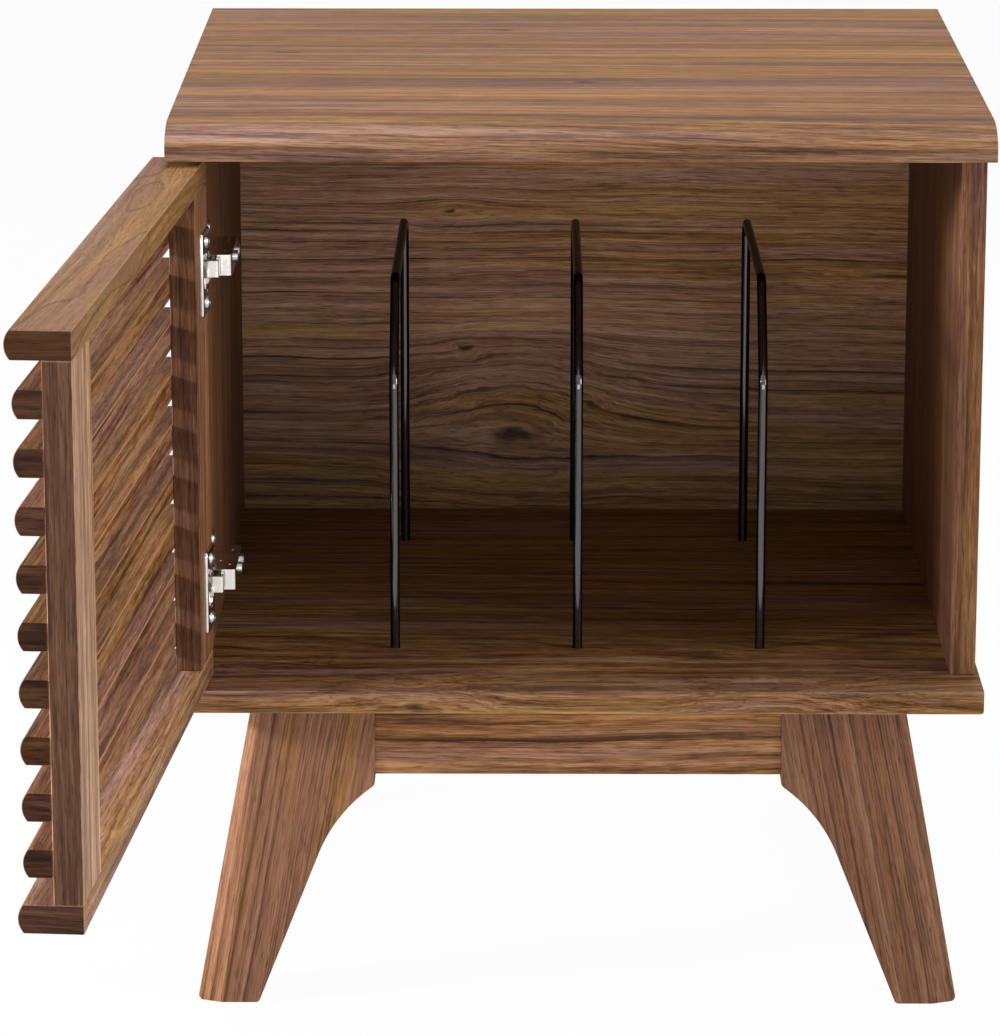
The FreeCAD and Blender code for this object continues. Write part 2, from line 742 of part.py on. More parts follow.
# The whole object
def cabinet_pieces():
    """Every piece that stands still, by name."""
    pieces = {
        "top_panel": [top_panel()],
        "bottom_panel": [bottom_panel()],
        "left_side_panel": [left_side_panel()],
        "right_side_panel": [side_panel()],
        "back_panel": [back_panel()],
        "panel_dowels": panel_dowels(),
        "base_screws": base_screws(screw),
        "divider_screws": divider_screws(screw),
        "hinge_arm_pins": arm_pins(),
        "hinge_adjusting_screws": adjusting_screws(),
        "hinge_plate_screws": plate_screws(screw),
    }
    for name, x in zip(("left", "middle", "right"), divider_places()):
        pieces["record_divider_" + name] = [record_divider(x)]
    for name, z in (("upper", upper_hinge_z), ("lower", lower_hinge_z)):
        pieces["hinge_link_" + name] = [hinge_link(z)]
        pieces["hinge_arm_" + name] = [hinge_arm(z)]
        pieces["hinge_plate_" + name] = [hinge_plate(z)]
    return pieces


def stand_pieces():
    """The legs and the frame between them, by name."""
    legs = across_y(across_x([leg()]))
    blocks = across_y(across_x([corner_block()]))
    aprons = across_y([front_apron()])
    side_aprons = across_x([side_apron()])
    pieces = {
        "front_apron": [aprons[0]],
        "rear_apron": [aprons[1]],
        "right_side_apron": [side_aprons[0]],
        "left_side_apron": [side_aprons[1]],
        "leg_dowels": leg_dowels(),
        "apron_dowels": apron_dowels(),
        "corner_block_screws": block_screws(screw),
        "foot_glides": across_y(across_x([foot_glide()])),
    }
    for name, leg_shape, block in zip(("front_right", "front_left", "rear_right", "rear_left"), legs, blocks):
        pieces["leg_" + name] = [leg_shape]
        pieces["corner_block_" + name] = [block]
    return pieces


def door_pieces():
    """The door with its halves of the hinges, turned open about the pins."""
    pieces = {
        "door_top_rail": [rail(stile_top_z)],
        "door_bottom_rail": [rail(door_bottom_z)],
        "door_hinge_stile": [hinge_stile()],
        "door_free_stile": [free_stile()],
        "slat_dowels": slat_dowels(),
        "rail_dowels": rail_dowels(),
        "hinge_cup_upper": [hinge_cup(upper_hinge_z)],
        "hinge_cup_lower": [hinge_cup(lower_hinge_z)],
        "hinge_cup_pins": cup_pins(),
        "hinge_cup_screws": cup_screws(screw),
    }
    for number, bottom_z in enumerate(slat_bottoms(), start=1):
        pieces["door_slat_" + str(number)] = [slat(bottom_z)]
    for shapes in pieces.values():
        for shape in shapes:
            shape.rotate(FreeCAD.Vector(pivot_x, pivot_y, 0), along_z, -door_opening_degrees)
    return pieces


os.makedirs("parts", exist_ok=True)
for pieces in (cabinet_pieces(), stand_pieces(), door_pieces()):
    for name, shapes in pieces.items():
        shape = shapes[0] if len(shapes) == 1 else Part.makeCompound(shapes)
        shape.exportStep("parts/" + name + ".step")
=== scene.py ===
import json
import math

import bmesh
import bpy
from mathutils import Matrix, Vector


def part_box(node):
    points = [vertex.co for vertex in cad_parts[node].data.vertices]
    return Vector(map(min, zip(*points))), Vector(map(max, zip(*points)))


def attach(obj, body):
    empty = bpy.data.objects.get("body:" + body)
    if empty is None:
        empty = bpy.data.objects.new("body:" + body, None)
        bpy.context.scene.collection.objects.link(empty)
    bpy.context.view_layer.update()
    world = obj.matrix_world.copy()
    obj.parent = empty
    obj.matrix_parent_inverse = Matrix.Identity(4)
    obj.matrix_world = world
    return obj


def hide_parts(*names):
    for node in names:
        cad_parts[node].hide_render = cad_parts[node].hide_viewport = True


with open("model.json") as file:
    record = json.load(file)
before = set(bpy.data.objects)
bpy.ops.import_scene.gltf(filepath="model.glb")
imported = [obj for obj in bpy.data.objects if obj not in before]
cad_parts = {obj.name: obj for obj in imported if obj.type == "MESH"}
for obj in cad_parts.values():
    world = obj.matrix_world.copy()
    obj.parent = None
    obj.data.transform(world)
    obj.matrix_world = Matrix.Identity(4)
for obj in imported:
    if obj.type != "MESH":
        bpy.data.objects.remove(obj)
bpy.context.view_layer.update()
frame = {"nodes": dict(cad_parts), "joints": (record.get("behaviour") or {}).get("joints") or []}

# The record display stand in a plain studio. Metres, in the CAD model's own frame.
scene = bpy.context.scene
nodes = frame["nodes"]
door_joint = frame["joints"][0]

# The viewing point, found by fitting the picture's perspective
CAMERA_PLACE = (-0.0292, -3.1685, 1.0891)
CAMERA_TURN = (1.3162, 0.0, 0.0066)
CAMERA_LENS = 172.4
CAMERA_REACH = 100.0
SENSOR_SIZE = 36.0

# Directions
ALONG_X = Vector((1, 0, 0))
ALONG_Y = Vector((0, 1, 0))
ALONG_Z = Vector((0, 0, 1))
DOOR_ANGLE = -math.radians(door_joint["range_deg"][1])
DOOR_ALONG = Vector((math.cos(DOOR_ANGLE), math.sin(DOOR_ANGLE), 0))
DOOR_FACE = DOOR_ALONG.cross(ALONG_Z) * -1
LEG_LEAN = math.radians(10.6)
LEG_BEVEL = math.radians(21.0)


def opaque(tone):
    """Three colour values with a full alpha."""
    return tuple(tone) + (1.0,)


def linear_share(share):
    """One screen value from 0 to 1 as a linear one."""
    if share <= 0.04045:
        return share / 12.92
    return ((share + 0.055) / 1.055) ** 2.4


def from_screen(red, green, blue):
    """A colour given in the 0 to 255 of a screen, as the linear values that a shader takes."""
    return opaque(linear_share(value / 255) for value in (red, green, blue))


def wood_run(dark, middle, light, middle_place=0.5):
    """Stops from dark to light wood, in the 0 to 255 of a screen."""
    places = (0.0, middle_place, 1.0)
    return tuple((place, from_screen(*tone)) for place, tone in zip(places, (dark, middle, light)))


# Shader building
NOISE_MIDDLE = 0.5


def feed(tree, socket, value):
    """Sets an input to a value, or joins it to another node's output."""
    if isinstance(value, bpy.types.NodeSocket):
        tree.links.new(value, socket)
    else:
        socket.default_value = value


def shader_node(tree, kind, inputs=(), **settings):
    """A shader node with its settings and its inputs."""
    made = tree.nodes.new("ShaderNode" + kind)
    for name, value in settings.items():
        setattr(made, name, value)
    for key, value in dict(inputs).items():
        feed(tree, made.inputs[key], value)
    return made


def calc(tree, operation, *values):
    """One sum on numbers."""
    return shader_node(tree, "Math", dict(enumerate(values)), operation=operation).outputs[0]


def add(tree, first, second):
    """Two numbers added."""
    return calc(tree, "ADD", first, second)


def less(tree, first, second):
    """The second number taken from the first."""
    return calc(tree, "SUBTRACT", first, second)


def times(tree, first, second):
    """Two numbers multiplied."""
    return calc(tree, "MULTIPLY", first, second)


def calc_vector(tree, operation, *values, output=0):
    """One sum on vectors."""
    made = shader_node(tree, "VectorMath", operation=operation)
    inputs = [socket for socket in made.inputs if socket.enabled]
    for socket, value in zip(inputs, values):
        feed(tree, socket, value)
    return made.outputs[output]


def scaled_vector(tree, vector, factor):
    """A vector multiplied by a number."""
    made = calc_vector(tree, "SCALE", vector)
    feed(tree, made.node.inputs["Scale"], factor)
    return made


def span(tree, value, low, high, start=0.0, end=1.0):
    """A value between two limits, eased to run from start to end."""
    inputs = {0: value, 1: low, 2: high, 3: start, 4: end}
    return shader_node(tree, "MapRange", inputs, interpolation_type="SMOOTHSTEP").outputs[0]


def ridge(tree, value, rise_start, rise_end, fall_start, fall_end):
    """1 between a rise and a fall of the value, eased to 0 outside them."""
    rise = span(tree, value, rise_start, rise_end)
    return times(tree, rise, span(tree, value, fall_start, fall_end, 1.0, 0.0))


def noise(tree, place, stretch, detail=2.0, rough=0.5, output=0):
    """Soft noise that is drawn out along the grain by unlike scales."""
    scaled = calc_vector(tree, "MULTIPLY", place, stretch)
    inputs = {"Vector": scaled, "Scale": 1.0, "Detail": detail, "Roughness": rough}
    return shader_node(tree, "TexNoise", inputs).outputs[output]


def vector_noise(tree, place, pattern):
    """Soft noise in three directions, about zero."""
    made = noise(tree, place, output=1, **pattern)
    return calc_vector(tree, "SUBTRACT", made, (NOISE_MIDDLE,) * 3)


def mix_colours(tree, share, first, second, kind="MIX"):
    """Two colours mixed by a share."""
    made = shader_node(tree, "Mix", data_type="RGBA", blend_type=kind)
    feed(tree, made.inputs[0], share)
    feed(tree, made.inputs[6], first)
    feed(tree, made.inputs[7], second)
    return made.outputs[2]


def mix_places(tree, share, first, second):
    """Two vectors mixed by a share."""
    made = shader_node(tree, "Mix", data_type="VECTOR")
    feed(tree, made.inputs[0], share)
    feed(tree, made.inputs[4], first)
    feed(tree, made.inputs[5], second)
    return made.outputs[1]


def colour_run(tree, value, stops):
    """A run of colours along a value from 0 to 1."""
    made = shader_node(tree, "ValToRGB", {0: value})
    ramp = made.color_ramp
    while len(ramp.elements) < len(stops):
        ramp.elements.new(0.5)
    for element, (place, colour) in zip(ramp.elements, stops):
        element.position = place
        element.color = colour
    return made.outputs[0]


def new_group(name, inputs, outputs):
    """An empty shader node group with named inputs and outputs."""
    group = bpy.data.node_groups.new(name, "ShaderNodeTree")
    for label, kind, value in inputs:
        socket = group.interface.new_socket(label, in_out="INPUT", socket_type="NodeSocket" + kind)
        if value is not None:
            socket.default_value = value
    for label, kind in outputs:
        group.interface.new_socket(label, in_out="OUTPUT", socket_type="NodeSocket" + kind)
    source = group.nodes.new("NodeGroupInput")
    sink = group.nodes.new("NodeGroupOutput")
    return group, source.outputs, sink.inputs


# Walnut: its colours
GOLD_WOOD = wood_run((88, 55, 30), (152, 107, 62), (192, 149, 98))
PLUM_WOOD = wood_run((80, 53, 42), (143, 101, 78), (182, 141, 114))
LINE_COLOUR = from_screen(42, 25, 19)
# The rim colour is a painted highlight where light catches rounded edges
EDGE_HIGHLIGHT_COLOUR = from_screen(206, 158, 112)
FLECK_COLOUR = from_screen(150, 82, 50)
SMEAR_COLOUR = from_screen(68, 47, 38)
PATCH_COLOUR = from_screen(139, 98, 78)
EYE_COLOUR = from_screen(32, 21, 16)
# The end colour darkens end grain, and also paints shade on the stiles' edges
END_AND_SHADE_COLOUR = from_screen(130, 115, 107)

# Walnut: how fast each pattern changes along the grain and across it, per metre
DRIFT = {"stretch": (1.5, 7.0, 7.0), "detail": 1.0}
RIPPLE = {"stretch": (11.0, 32.0, 32.0), "detail": 1.0}
FIBRE = {"stretch": (45.0, 850.0, 850.0), "detail": 2.0, "rough": 0.65}
STREAK = {"stretch": (4.0, 230.0, 230.0), "detail": 3.0, "rough": 0.6}
BAND = {"stretch": (1.6, 34.0, 34.0), "detail": 2.0, "rough": 0.6}
BROAD_BAND = {"stretch": (1.3, 60.0, 60.0), "detail": 1.5, "rough": 0.55}
BLOT = {"stretch": (5.5, 55.0, 55.0), "detail": 3.0, "rough": 0.6}
CLOUD = {"stretch": (7.0, 32.0, 32.0), "detail": 0.8}
PORE = {"stretch": (80.0, 1500.0, 1500.0), "detail": 1.0}
KNOT_EDGE = {"stretch": (45.0, 110.0, 110.0), "detail": 2.0}
KNOT_EDGE_SIZE = (0.034, 0.013, 0.013)
RING_CHANGE = {"Scale": 0.45, "Detail": 1.0}

# Walnut: shares and limits of its figure
SEED_STEP = (3.17, 7.73, 5.39)
RIPPLE_SHARE = 0.13
RING_UNEVENNESS = 2.2
SIDE_SLANT = 0.4
FIBRE_RAGGEDNESS = 0.3
GROWTH_LINE = (0.68, 0.9, 0.93, 1.0)
LINE_CHANCE = (0.1, 1.0)
FAINTEST_LINE = 0.3
FINE_LINE = (0.35, 0.85, 0.88, 1.0)
FINE_LINES_PER_RING = 3.3
LINE_BREAKS = (0.3, 0.6)
BROKEN_LINE = 0.35
STREAK_SHARE = 1.8
FIBRE_SHARE = 1.3
BAND_SHARE = 0.3
FIGURE_MIDDLE = 1.4
MIDDLE_VALUE = 0.55
RING_SHARE = 0.16
GOLD_REACH = 0.3
GOLD_LIMITS = (0.54, 0.74)
SMEAR_LIMITS = (0.56, 0.76)
FLECK_LIMITS = (0.38, 0.25)
FLECK_SHARE = 0.35
PATCH_LIMITS = (0.49, 0.58)
PATCH_OUTLINE = (0.483, 0.5, 0.5, 0.53)
PATCH_SHARE = 0.45
PORE_LIMITS = (0.56, 0.7)
PORE_SHARE = 0.5
WOOD_ROUGHNESS = 0.52
ROUGHNESS_CHANGE = 0.12
FIBRE_HEIGHT = 0.5
PORE_DEPTH = 0.6
LINE_DEPTH = 0.4
EYE_CORE = 0.3
EYE_SHARE = 0.85
FIGURE_DEFAULTS = {
    "Seed": 0.0, "Heart": 0.12, "Side": 0.3, "Tilt": 0.03, "Pitch": 0.0042, "Wander": 0.02,
    "Lines": 0.7, "Fine lines": 0.35, "Gold": 0.5, "Smear": 0.5, "Swirl": 0.0, "Swell": 0.0,
    "Eye": 0.0, "Ends": 0.0, "Rim": 0.0, "Contrast": 1.0, "Broad bands": 0.0,
}


def log_rings(group, given, shift, place):
    """The rings at a place, counted from the log's heart, and a vector that flows along them."""
    # The log's slow drift and its ripple bend everything in it
    ripple = vector_noise(group, place, RIPPLE)
    ripple = calc_vector(group, "MULTIPLY", ripple, (RIPPLE_SHARE,) * 3)
    moved = calc_vector(group, "ADD", vector_noise(group, place, DRIFT), ripple)
    moved = scaled_vector(group, moved, given["Wander"])
    bent = calc_vector(group, "ADD", given["Vector"], moved)
    along, side, out_of_face = shader_node(group, "SeparateXYZ", {0: bent}).outputs

    # The distance from the heart of the log counts the rings
    rise = times(group, along, given["Tilt"])
    below = add(group, add(group, out_of_face, given["Heart"]), rise)
    across = add(group, side, given["Side"])
    squares = add(group, times(group, across, across), times(group, below, below))
    distance = add(group, calc(group, "SQRT", squares), given["Swell"])
    rings = calc(group, "DIVIDE", distance, given["Pitch"])
    uneven = shader_node(group, "TexNoise", {"W": add(group, rings, given["Seed"]), **RING_CHANGE},
                         noise_dimensions="1D").outputs[0]
    rings = add(group, rings, times(group, uneven, RING_UNEVENNESS))
    sideways = add(group, out_of_face, times(group, side, SIDE_SLANT))
    flow = shader_node(group, "CombineXYZ", {0: along, 1: distance, 2: sideways}).outputs[0]
    return rings, calc_vector(group, "ADD", flow, shift)


def growth_lines(group, given, rings, fibre, streak):
    """Growth lines with finer ones between them, broken up by the fibres, and each ring's shade."""
    rings = add(group, rings, times(group, less(group, fibre, NOISE_MIDDLE), FIBRE_RAGGEDNESS))
    part = calc(group, "FRACT", rings)
    number = add(group, calc(group, "FLOOR", rings), given["Seed"])
    chance = shader_node(group, "TexWhiteNoise", {"W": number}, noise_dimensions="1D").outputs[0]
    strength = span(group, chance, *LINE_CHANCE, FAINTEST_LINE, 1.0)
    line = times(group, ridge(group, part, *GROWTH_LINE), strength)
    line = times(group, line, given["Lines"])
    thin = calc(group, "FRACT", times(group, rings, FINE_LINES_PER_RING))
    thin = times(group, ridge(group, thin, *FINE_LINE), given["Fine lines"])
    line = calc(group, "MAXIMUM", line, thin)
    line = times(group, line, span(group, streak, *LINE_BREAKS, 1.0, BROKEN_LINE))
    return line, times(group, times(group, chance, part), RING_SHARE)


def make_walnut():
    """Walnut cut from a log, with rings, bands, fibres and pores. The grain runs along X."""
    inputs = [("Vector", "Vector", None)]
    inputs += [(label, "Float", value) for label, value in FIGURE_DEFAULTS.items()]
    inputs += [("Tone", "Color", (1, 1, 1, 1))]
    group, given, out = new_group(
        "walnut_grain", inputs,
        [("Color", "Color"), ("Roughness", "Float"), ("Height", "Float"), ("Figure", "Float")])
    shift = scaled_vector(group, SEED_STEP, given["Seed"])
    place = calc_vector(group, "ADD", given["Vector"], shift)
    rings, flow = log_rings(group, given, shift, place)
    fibre = noise(group, flow, **FIBRE)
    streak = noise(group, flow, **STREAK)
    line, ring_shade = growth_lines(group, given, rings, fibre, streak)

    # Light and dark, then gold or plum
    band = noise(group, flow, **BAND)
    value = add(group, times(group, streak, STREAK_SHARE), times(group, fibre, FIBRE_SHARE))
    value = less(group, value, times(group, band, BAND_SHARE))
    value = times(group, less(group, value, FIGURE_MIDDLE), given["Contrast"])
    value = less(group, add(group, value, MIDDLE_VALUE), ring_shade)
    broad = less(group, noise(group, flow, **BROAD_BAND), NOISE_MIDDLE)
    value = add(group, value, times(group, broad, given["Broad bands"]))
    gold = span(group, add(group, band, times(group, given["Gold"], GOLD_REACH)), *GOLD_LIMITS)
    plum = colour_run(group, value, PLUM_WOOD)
    wood = mix_colours(group, gold, plum, colour_run(group, value, GOLD_WOOD))

    # Smears and flecks
    blot = noise(group, flow, **BLOT)
    smear = times(group, span(group, blot, *SMEAR_LIMITS), given["Smear"])
    wood = mix_colours(group, smear, wood, SMEAR_COLOUR)
    fleck = span(group, blot, *FLECK_LIMITS, 0.0, FLECK_SHARE)
    wood = mix_colours(group, fleck, wood, FLECK_COLOUR)

    # A wandering outline with greyer wood inside it
    cloud = noise(group, place, **CLOUD)
    swirl = times(group, given["Swirl"], PATCH_SHARE)
    patch = times(group, span(group, cloud, *PATCH_LIMITS), swirl)
    wood = mix_colours(group, patch, wood, PATCH_COLOUR)
    outline = times(group, ridge(group, cloud, *PATCH_OUTLINE), swirl)
    line = calc(group, "MAXIMUM", line, outline)
    wood = mix_colours(group, line, wood, LINE_COLOUR)

    # Pores, the knot's eye, painted highlights on the edges, and darker ends, which on the door's
    # stiles are painted shade
    pore = span(group, noise(group, flow, **PORE), *PORE_LIMITS)
    wood = mix_colours(group, times(group, pore, PORE_SHARE), wood, LINE_COLOUR)
    wood = mix_colours(group, given["Eye"], wood, EYE_COLOUR)
    wood = mix_colours(group, given["Rim"], wood, EDGE_HIGHLIGHT_COLOUR)
    # Darker ends; on the door's stiles the same darkening is painted shade
    end_and_shade_wood = mix_colours(group, 1.0, wood, END_AND_SHADE_COLOUR, "MULTIPLY")
    wood = mix_colours(group, given["Ends"], wood, end_and_shade_wood)
    feed(group, out["Color"], mix_colours(group, 1.0, wood, given["Tone"], "MULTIPLY"))
    feed(group, out["Figure"], value)
    uneven = times(group, value, ROUGHNESS_CHANGE)
    feed(group, out["Roughness"], add(group, WOOD_ROUGHNESS, uneven))
    dips = add(group, times(group, pore, PORE_DEPTH), times(group, line, LINE_DEPTH))
    feed(group, out["Height"], less(group, times(group, fibre, FIBRE_HEIGHT), dips))
    return group


def make_knot():
    """A knot: the rings part round a place and rise over it, with a dark eye."""
    group, given, out = new_group(
        "wood_knot",
        [("Vector", "Vector", None), ("Place", "Vector", None),
         ("Reach", "Vector", (0.06, 0.02, 1.0)), ("Lift", "Float", 0.008),
         ("Apart", "Float", 0.6), ("Eye size", "Float", 0.12)],
        [("Swell", "Float"), ("Eye", "Float")])
    away = calc_vector(group, "SUBTRACT", given["Vector"], given["Place"])
    edge = vector_noise(group, given["Vector"], KNOT_EDGE)
    ragged = calc_vector(group, "MULTIPLY", edge, KNOT_EDGE_SIZE)
    scaled = calc_vector(group, "DIVIDE", calc_vector(group, "ADD", away, ragged), given["Reach"])
    far = calc_vector(group, "LENGTH", scaled, output=1)
    bell = calc(group, "EXPONENT", times(group, times(group, far, far), -1.0))
    over = shader_node(group, "SeparateXYZ", {0: away}).outputs[1]
    pushed = add(group, times(group, over, given["Apart"]), given["Lift"])
    feed(group, out["Swell"], times(group, times(group, bell, pushed), -1.0))
    core = times(group, given["Eye size"], EYE_CORE)
    feed(group, out["Eye"], span(group, far, core, given["Eye size"], EYE_SHARE, 0.0))
    return group


walnut_group = make_walnut()
knot_group = make_knot()


def new_material(name):
    """A material with its shader, ready for its values."""
    material = bpy.data.materials.new(name)
    material.use_nodes = True
    tree = material.node_tree
    return material, tree, tree.nodes["Principled BSDF"]


def placed_group(tree, group, **values):
    """One use of a node group with its own values; a word's _ stands for a space."""
    made = tree.nodes.new("ShaderNodeGroup")
    made.node_tree = group
    for name, value in values.items():
        feed(tree, made.inputs[name.replace("_", " ")], value)
    return made


def piece_place(tree, along, face, centre=(0, 0, 0)):
    """Object coordinates turned so that X runs along the grain and Z out of the board's face."""
    turned = Matrix((along, face.cross(along), face))
    middle = turned @ Vector(centre) * -1
    coordinates = shader_node(tree, "TexCoord").outputs["Object"]
    inputs = {"Vector": coordinates, "Location": middle, "Rotation": turned.to_euler()}
    return shader_node(tree, "Mapping", inputs).outputs[0]


def facing_share(tree, outward, way):
    """How far a surface faces a direction."""
    return calc_vector(tree, "DOT_PRODUCT", outward, tuple(way), output=1)


def two_sides(tree, outward, way):
    """1 on the two sides that are square to a direction."""
    return span(tree, calc(tree, "ABSOLUTE", facing_share(tree, outward, way)), *SQUARE_TO)


def raise_surface(tree, shader, strength, distance, height):
    """Bump on a material's surface."""
    inputs = {"Strength": strength, "Distance": distance, "Height": height}
    feed(tree, shader.inputs["Normal"], shader_node(tree, "Bump", inputs).outputs[0])


# A walnut board: limits of facing for its ends, its back and a bevel
SQUARE_TO = (0.75, 0.95)
TURNED_TO = (0.5, 0.9)
BEVEL_FACING = (0.955, 0.985)
# Width and fade of the painted highlights along bar edges
EDGE_HIGHLIGHT_WIDTH = 0.0009
EDGE_HIGHLIGHT_FADE = 0.4
WOOD_GLOSS = 0.1
WOOD_BUMP = 0.25
WOOD_RELIEF = 0.0004
PLAIN_TONE = (1.0, 1.0, 1.0)


def knot_effects(tree, place, knots):
    """The swelling of the rings and the dark eyes of a board's knots."""
    swell, eye = 0.0, 0.0
    for knot in knots:
        made = placed_group(tree, knot_group, Vector=place, Place=(*knot["place"], 0.0),
                            Reach=(*knot["reach"], 1.0), Lift=knot["lift"],
                            Apart=knot["apart"], Eye_size=knot["eye"])
        swell = add(tree, swell, made.outputs["Swell"])
        eye = calc(tree, "MAXIMUM", eye, made.outputs["Eye"])
    return swell, eye


def board_tone(tree, outward, face, height, tone, tint, pale_side):
    """A board's tone, with a band of painted light and shade on its face and a painted highlight on
    a bevel.
    """
    colour = opaque(tone)
    # A painted band: lighter and pinker on the top's front roll as a highlight, darker on the
    # base's front and the back's bottom as shade
    if tint:
        painted_at, unpainted_at, shade = tint
        in_front = span(tree, facing_share(tree, outward, face * -1), *TURNED_TO, 1.0, 0.0)
        share = times(tree, span(tree, height, painted_at, unpainted_at, 1.0, 0.0), in_front)
        painted_band_tone = opaque(first * second for first, second in zip(tone, shade))
        colour = mix_colours(tree, share, colour, painted_band_tone)
    # A lighter bevel: a painted highlight on the side that faces a lamp
    if pale_side:
        way, brightness = pale_side
        on_bevel = span(tree, facing_share(tree, outward, way), *BEVEL_FACING)
        painted_lighter = opaque(value * brightness for value in tone)
        colour = mix_colours(tree, on_bevel, colour, painted_lighter)
    return colour


def painted_edge_highlights(tree, height, depth, half_height, half_thickness, share):
    """Painted highlights along the long edges of a bar, where light catches their rounding."""
    sides = []
    for value, half in ((height, half_height), (depth, half_thickness)):
        away = calc(tree, "ABSOLUTE", value)
        sides.append(span(tree, away, half - EDGE_HIGHLIGHT_WIDTH, half - EDGE_HIGHLIGHT_WIDTH * EDGE_HIGHLIGHT_FADE))
    return times(tree, times(tree, *sides), share)


def walnut(name, along, face, seed, centre, knots=(), bump=WOOD_BUMP, tone=PLAIN_TONE,
           dark_side=None, dark_share=1.0, rim=None, tint=None, pale_side=None, **figure):
    """Satin walnut for one piece: its own part of the log, its knots, darker ends and painted edge
    highlights.

    dark_side is a direction whose two sides are darker in place of the ends; on the hinge stile
    this is painted shade. rim gives half the height and half the thickness of a bar and how bright
    the painted highlights on its edges are, tint a height where a painted band is
    full, one where it is gone and its colour, pale_side the direction of a side with a
    painted highlight and its brightness.
    """
    material, tree, shader = new_material("walnut_" + name)
    place = piece_place(tree, along, face, centre)
    outward = shader_node(tree, "TexCoord").outputs["Normal"]
    ends = two_sides(tree, outward, along)
    dark = two_sides(tree, outward, dark_side or along)
    x, height, depth = shader_node(tree, "SeparateXYZ", {0: place}).outputs

    # On its ends the grain runs along the edge, as an edge strip's does
    order = {0: height, 1: x, 2: depth} if face == ALONG_Z else {0: depth, 1: height, 2: x}
    turned = shader_node(tree, "CombineXYZ", order).outputs[0]
    swell, eye = knot_effects(tree, place, knots)
    grain = placed_group(
        tree, walnut_group, Vector=mix_places(tree, ends, place, turned), Seed=seed, Swell=swell,
        Eye=eye, Ends=times(tree, dark, dark_share),
        Rim=painted_edge_highlights(tree, height, depth, *rim) if rim else 0.0,
        Tone=board_tone(tree, outward, face, height, tone, tint, pale_side), **figure)
    feed(tree, shader.inputs["Base Color"], grain.outputs["Color"])
    feed(tree, shader.inputs["Roughness"], grain.outputs["Roughness"])
    shader.inputs["Specular IOR Level"].default_value = WOOD_GLOSS
    raise_surface(tree, shader, bump, WOOD_RELIEF, grain.outputs["Height"])
    return material


def dress(node, material):
    """Gives a CAD piece its material."""
    mesh = nodes[node].data
    mesh.materials.clear()
    mesh.materials.append(material)


def dress_walnut(node, along, face, seed, centre=None, **look):
    """Gives a CAD board its own walnut, centred on the board's box unless a centre is given."""
    if centre is None:
        low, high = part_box(node)
        centre = (low + high) / 2
    dress(node, walnut(node, along, face, seed, centre, **look))


# Knots: places and reaches along and across the grain, from the board's centre
TOP_KNOTS = (
    {"place": (-0.05, 0.11), "reach": (0.03, 0.005), "lift": 0.0, "apart": 0.3, "eye": 0.5},
    {"place": (-0.19, 0.017), "reach": (0.035, 0.005), "lift": 0.0, "apart": 0.3, "eye": 0.5},
    {"place": (0.005, -0.1), "reach": (0.05, 0.012), "lift": 0.002, "apart": 0.5, "eye": 0.3},
)
BASE_KNOTS = (
    {"place": (-0.1, -0.272), "reach": (0.045, 0.025), "lift": 0.006, "apart": 0.5, "eye": 0.35},
    {"place": (0.124, -0.275), "reach": (0.06, 0.03), "lift": 0.009, "apart": 0.5, "eye": 0.3},
)
BACK_KNOTS = (
    {"place": (-0.043, -0.112), "reach": (0.075, 0.035), "lift": 0.004, "apart": 0.85, "eye": 0.26},
    {"place": (-0.035, -0.065), "reach": (0.06, 0.03), "lift": 0.012, "apart": 0.0, "eye": 0.0},
    {"place": (-0.075, -0.05), "reach": (0.02, 0.01), "lift": 0.0, "apart": 0.8, "eye": 0.35},
    {"place": (-0.085, 0.048), "reach": (0.028, 0.01), "lift": 0.0, "apart": 0.8, "eye": 0.3},
)

# Boards of the body
# The band on the top's front roll is a painted highlight, lighter and pinker
dress_walnut("top_panel", ALONG_X, ALONG_Z, 1.0, (0, 0.03, 0.56), Lines=0.3, Fine_lines=0.12,
             Wander=0.02, Gold=0.45, Smear=0.4, Contrast=1.0, Broad_bands=1.4,
             tone=(0.81, 0.77, 0.72), tint=(-0.25, -0.232, (1.15, 1.33, 1.85)),
             dark_side=ALONG_Y, dark_share=0.4, knots=TOP_KNOTS)
# The band along the base's front is painted shade
dress_walnut("bottom_panel", ALONG_X, ALONG_Z, 4.0, (0, 0.03, 0.21), Lines=0.6, Wander=0.03,
             Side=0.2, Contrast=1.15, tone=(1.08, 1.22, 1.15),
             tint=(-0.22, -0.1, (0.88, 0.8, 0.82)), dark_side=ALONG_Y, dark_share=0.25,
             knots=BASE_KNOTS)
# The back's band is painted shade, darker towards the bottom
dress_walnut("back_panel", ALONG_X, ALONG_Y * -1, 7.0, (0, 0.22, 0.38), Lines=1.25,
             Fine_lines=0.55, Wander=0.03, Side=0.5, Gold=0.3, Contrast=0.8,
             tone=(1.53, 1.68, 1.75), tint=(-0.17, 0.03, (0.44, 0.46, 0.48)), knots=BACK_KNOTS)
for side, seed in (("left", 11.0), ("right", 14.0)):
    dress_walnut(side + "_side_panel", ALONG_Z, ALONG_X, seed, Lines=0.6, Wander=0.01, Side=0.4,
                 tone=(0.66, 0.62, 0.68), dark_side=ALONG_Y, dark_share=0.15)

